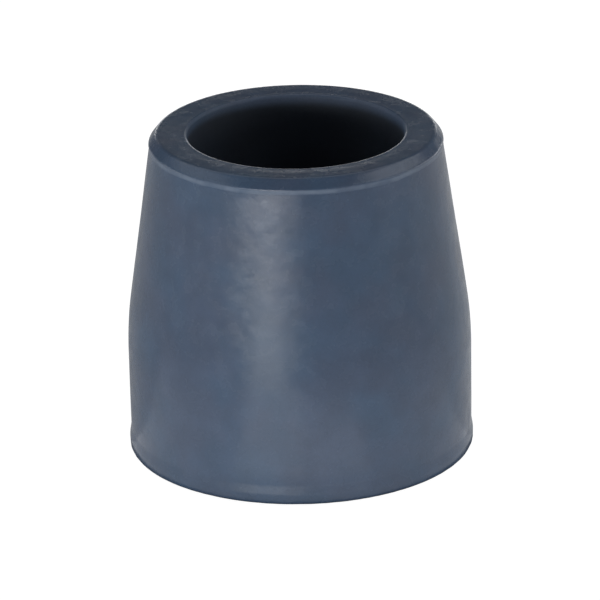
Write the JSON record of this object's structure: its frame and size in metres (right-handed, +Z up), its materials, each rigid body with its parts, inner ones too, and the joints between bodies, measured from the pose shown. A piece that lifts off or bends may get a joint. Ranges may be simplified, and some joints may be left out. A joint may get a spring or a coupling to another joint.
{
  "type": "walker tip",
  "caption": "Tapered rubber ferrule with a blind socket for a round tube and a grooved flat foot.",
  "frame": {"origin": "centre of the foot, on the ground plane", "axes": "+Z up along the socket's axis, out of its mouth; the part is round about +Z"},
  "size_m": [0.0444, 0.0444, 0.0422],
  "materials": {
    "rubber": "satin moulded slate-grey rubber"
  },
  "bodies": {
    "root": {"tip": "rubber"}
  },
  "joints": []
}
